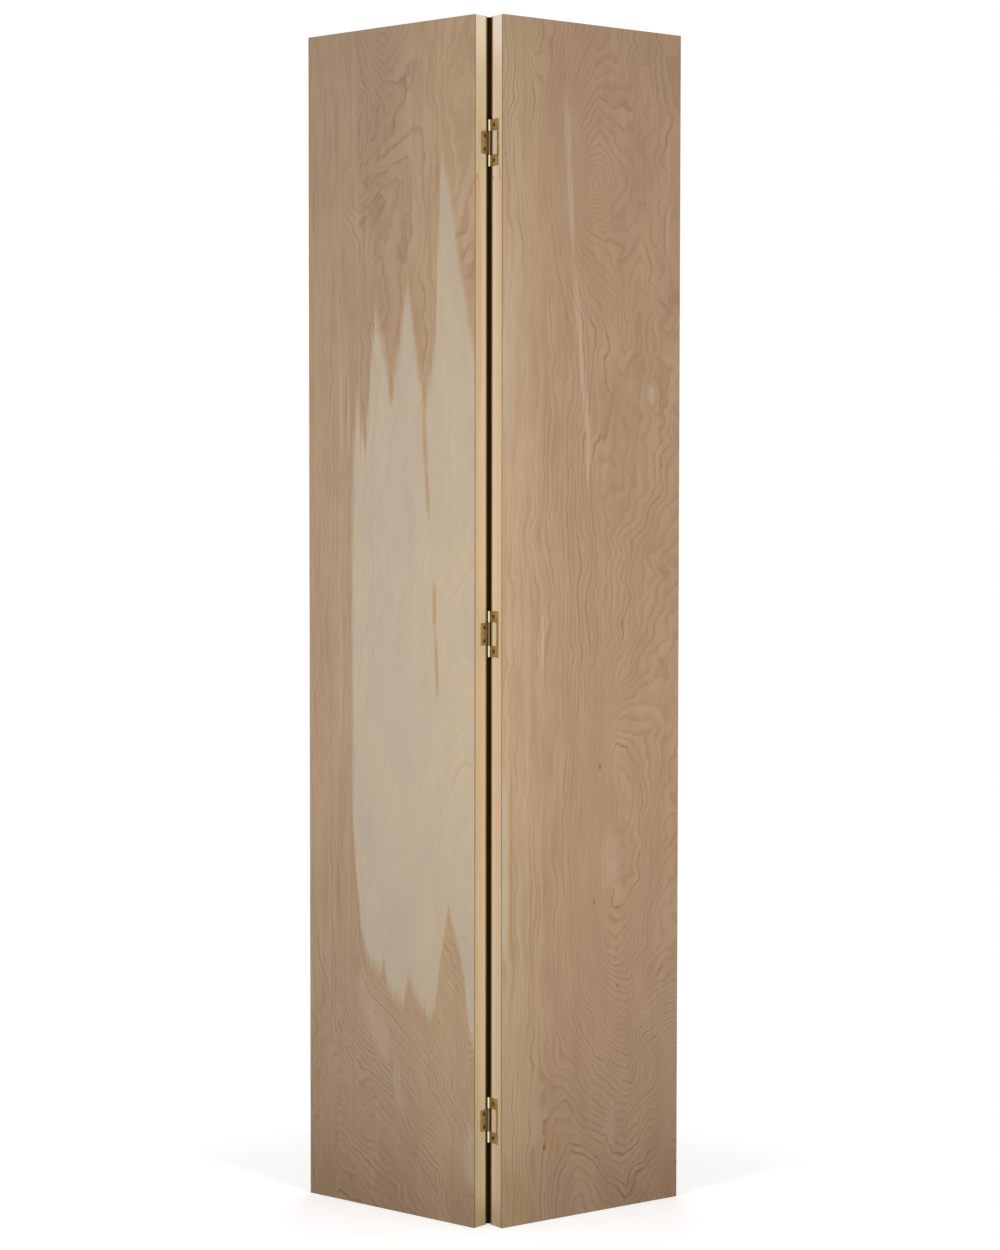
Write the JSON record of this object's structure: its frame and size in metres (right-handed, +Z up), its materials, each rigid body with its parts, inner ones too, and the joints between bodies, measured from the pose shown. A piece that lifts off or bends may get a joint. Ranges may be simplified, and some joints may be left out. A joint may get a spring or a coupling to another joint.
{
  "type": "bifold closet door",
  "caption": "Flush hollow-core bifold closet door in birch veneer: panels joined edge to edge by brass non-mortise hinges, with sockets for pivot and guide pins.",
  "frame": {"origin": "on the floor, in the middle of the half-folded door's footprint", "axes": "+Z up along the hinge pins; +X from the pivot panel to the lead panel; -Y towards the room, where the hinged edges point"},
  "size_m": [0.6396, 0.2536, 2.0066],
  "materials": {
    "birch_veneer": "unfinished, sanded rotary-cut birch",
    "hardboard": "pressed hardboard, matt",
    "pine": "unfinished, planed pine",
    "kraft_paper": "brown kraft paper",
    "hinge_brass": "satin brass plate",
    "hinge_pin_brass": "brass plate",
    "brass_screw": "brass plate",
    "staple_steel": "galvanised wire"
  },
  "bodies": {
    "pivot_panel": {"bottom_hinge_tongue_leaf": "hinge_brass", "bottom_hinge_tongue_screws": "brass_screw", "left_back_skin": "hardboard", "left_back_veneer": "birch_veneer", "left_bottom_rail": "pine", "left_front_skin": "hardboard", "left_front_veneer": "birch_veneer", "left_hinge_stile": "pine", "left_honeycomb_core": "kraft_paper", "left_joint_staples": "staple_steel", "left_outer_stile": "pine", "left_top_rail": "pine", "middle_hinge_tongue_leaf": "hinge_brass", "middle_hinge_tongue_screws": "brass_screw", "top_hinge_tongue_leaf": "hinge_brass", "top_hinge_tongue_screws": "brass_screw"},
    "lead_panel": {"bottom_hinge_frame_leaf": "hinge_brass", "bottom_hinge_frame_screws": "brass_screw", "bottom_hinge_pin": "hinge_pin_brass", "middle_hinge_frame_leaf": "hinge_brass", "middle_hinge_frame_screws": "brass_screw", "middle_hinge_pin": "hinge_pin_brass", "right_back_skin": "hardboard", "right_back_veneer": "birch_veneer", "right_bottom_rail": "pine", "right_front_skin": "hardboard", "right_front_veneer": "birch_veneer", "right_hinge_stile": "pine", "right_honeycomb_core": "kraft_paper", "right_joint_staples": "staple_steel", "right_outer_stile": "pine", "right_top_rail": "pine", "top_hinge_frame_leaf": "hinge_brass", "top_hinge_frame_screws": "brass_screw", "top_hinge_pin": "hinge_pin_brass"}
  },
  "joints": [
    {"name": "fold", "type": "hinge", "parent": "pivot_panel", "child": "lead_panel", "pos_m": [0, -0.09934, 1.0033], "axis": [0, 0, 1], "range_deg": [-75.3, 104.7]}
  ]
}
